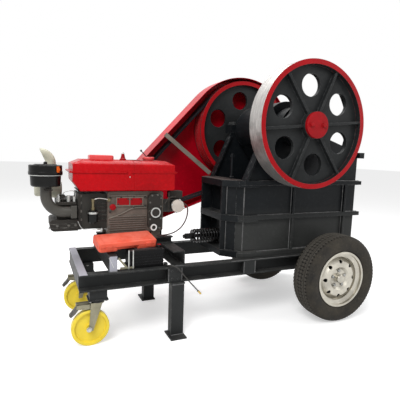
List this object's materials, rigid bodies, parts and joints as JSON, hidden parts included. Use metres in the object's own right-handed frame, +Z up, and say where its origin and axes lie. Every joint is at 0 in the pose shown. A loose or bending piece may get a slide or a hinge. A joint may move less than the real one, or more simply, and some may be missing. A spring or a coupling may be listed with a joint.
{
  "type": "mobile diesel jaw crusher",
  "caption": "Small jaw crusher on a channel chassis with road wheels and casters, belt-driven by a flat single-cylinder diesel engine.",
  "frame": {"origin": "on the ground, under the centre of the machine's bounding box", "axes": "+X from the engine to the crusher along the chassis, +Y towards the belt drive, +Z up"},
  "size_m": [2.159, 1.015, 1.6266],
  "materials": {
    "frame_charcoal": "semi-gloss charcoal paint over welds",
    "signal_red": "gloss red paint",
    "guard_red": "gloss red paint, dark inside",
    "engine_grey": "khaki grey paint on castings",
    "engine_dark": "dark grey paint on castings",
    "tank_red": "gloss red enamel",
    "muffler_cream": "heat resistant cream paint",
    "cleaner_black": "gloss black paint",
    "dynamo_metal": "cast, slightly dull",
    "jaw_steel": "as cast, worn bright on the teeth",
    "bare_steel": "turned, lightly rusted",
    "wheel_silver": "silver wheel paint",
    "tyre_rubber": "dusty black rubber",
    "belt_rubber": "wrapped wedge belt",
    "caster_yellow": "yellow polyurethane",
    "caster_zinc": "khaki grey plated steel",
    "pedal_steel": "bright zinc",
    "battery_black": "black polypropylene",
    "case_coral": "coral red moulding",
    "cable_black": "black insulation",
    "brass": "bright"
  },
  "bodies": {
    "root": {"near_rail": "frame_charcoal", "far_rail": "frame_charcoal", "near_side_frame": "frame_charcoal", "far_side_frame": "frame_charcoal", "stand_legs": "frame_charcoal", "caster_mounts": "frame_charcoal", "cheek_plates": "jaw_steel", "shaft_bearings": "frame_charcoal", "chassis_crossmembers": "frame_charcoal", "engine_crossbeams": "frame_charcoal", "axle": "frame_charcoal", "rear_wall": "frame_charcoal", "front_wall": "frame_charcoal", "fixed_jaw_plate": "jaw_steel", "moving_jaw_plate": "jaw_steel", "swing_jaw": "frame_charcoal", "toggle_block": "frame_charcoal", "toggle_plate": "frame_charcoal", "tension_rod": "frame_charcoal", "tension_spring": "frame_charcoal", "drive_belts": "belt_rubber", "belt_guard": "guard_red", "guard_supports": "engine_grey", "engine_rails": "frame_charcoal", "engine_block": "engine_grey", "cylinder_head": "engine_dark", "gear_cover": "engine_dark", "fuel_tank": "tank_red", "tank_saddle": "cleaner_black", "tank_caps": "tank_red", "air_cleaner": "cleaner_black", "intake_elbow": "engine_dark", "muffler": "muffler_cream", "dynamo": "dynamo_metal", "fuel_filter": "cleaner_black", "battery": "battery_black", "battery_tray": "frame_charcoal", "tool_case": "case_coral", "starting_cable": "cable_black", "cable_end": "brass", "cable_clip": "frame_charcoal"},
    "rotor": {"rotor_shaft": "bare_steel", "near_flywheel": "frame_charcoal", "drive_pulley": "frame_charcoal", "hub_plates": "signal_red"},
    "engine_flywheel": {"engine_flywheel": "engine_dark"},
    "near_wheel": {"near_tyre": "tyre_rubber", "near_rim": "wheel_silver"},
    "far_wheel": {"far_tyre": "tyre_rubber", "far_rim": "wheel_silver"},
    "near_caster": {"near_caster_fork": "caster_zinc"},
    "far_caster": {"far_caster_fork": "caster_zinc"},
    "near_caster_wheel": {"near_caster_wheel": "caster_yellow"},
    "far_caster_wheel": {"far_caster_wheel": "caster_yellow"},
    "near_pedal": {"near_caster_pedal": "pedal_steel"},
    "far_pedal": {"far_caster_pedal": "pedal_steel"}
  },
  "joints": [
    {"name": "rotor_spin", "type": "hinge", "parent": "root", "child": "rotor", "pos_m": [0.4595, 0, 1.232], "axis": [0, 1, 0], "continuous": true},
    {"name": "engine_spin", "type": "hinge", "parent": "root", "child": "engine_flywheel", "pos_m": [-0.3955, 0, 0.691], "axis": [0, 1, 0], "continuous": true},
    {"name": "near_wheel_roll", "type": "hinge", "parent": "root", "child": "near_wheel", "pos_m": [0.7265, -0.425, 0.2805], "axis": [0, 1, 0], "continuous": true},
    {"name": "far_wheel_roll", "type": "hinge", "parent": "root", "child": "far_wheel", "pos_m": [0.7265, 0.425, 0.2805], "axis": [0, 1, 0], "continuous": true},
    {"name": "near_caster_swivel", "type": "hinge", "parent": "root", "child": "near_caster", "pos_m": [-0.7525, -0.246, 0.24195], "axis": [0, 0, 1], "continuous": true},
    {"name": "near_caster_roll", "type": "hinge", "parent": "near_caster", "child": "near_caster_wheel", "pos_m": [-0.7895, -0.246, 0.1], "axis": [0, 1, 0], "continuous": true},
    {"name": "near_brake", "type": "hinge", "parent": "near_caster", "child": "near_pedal", "pos_m": [-0.8555, -0.246, 0.222], "axis": [0, 1, 0], "range_deg": [-15, 0]},
    {"name": "far_caster_swivel", "type": "hinge", "parent": "root", "child": "far_caster", "pos_m": [-0.7525, 0.246, 0.24195], "axis": [0, 0, 1], "continuous": true},
    {"name": "far_caster_roll", "type": "hinge", "parent": "far_caster", "child": "far_caster_wheel", "pos_m": [-0.7895, 0.246, 0.1], "axis": [0, 1, 0], "continuous": true},
    {"name": "far_brake", "type": "hinge", "parent": "far_caster", "child": "far_pedal", "pos_m": [-0.8555, 0.246, 0.222], "axis": [0, 1, 0], "range_deg": [-15, 0]}
  ],
  "couplings": [
    {"joint": "engine_spin", "follows": "rotor_spin", "ratio": 3.4762}
  ]
}
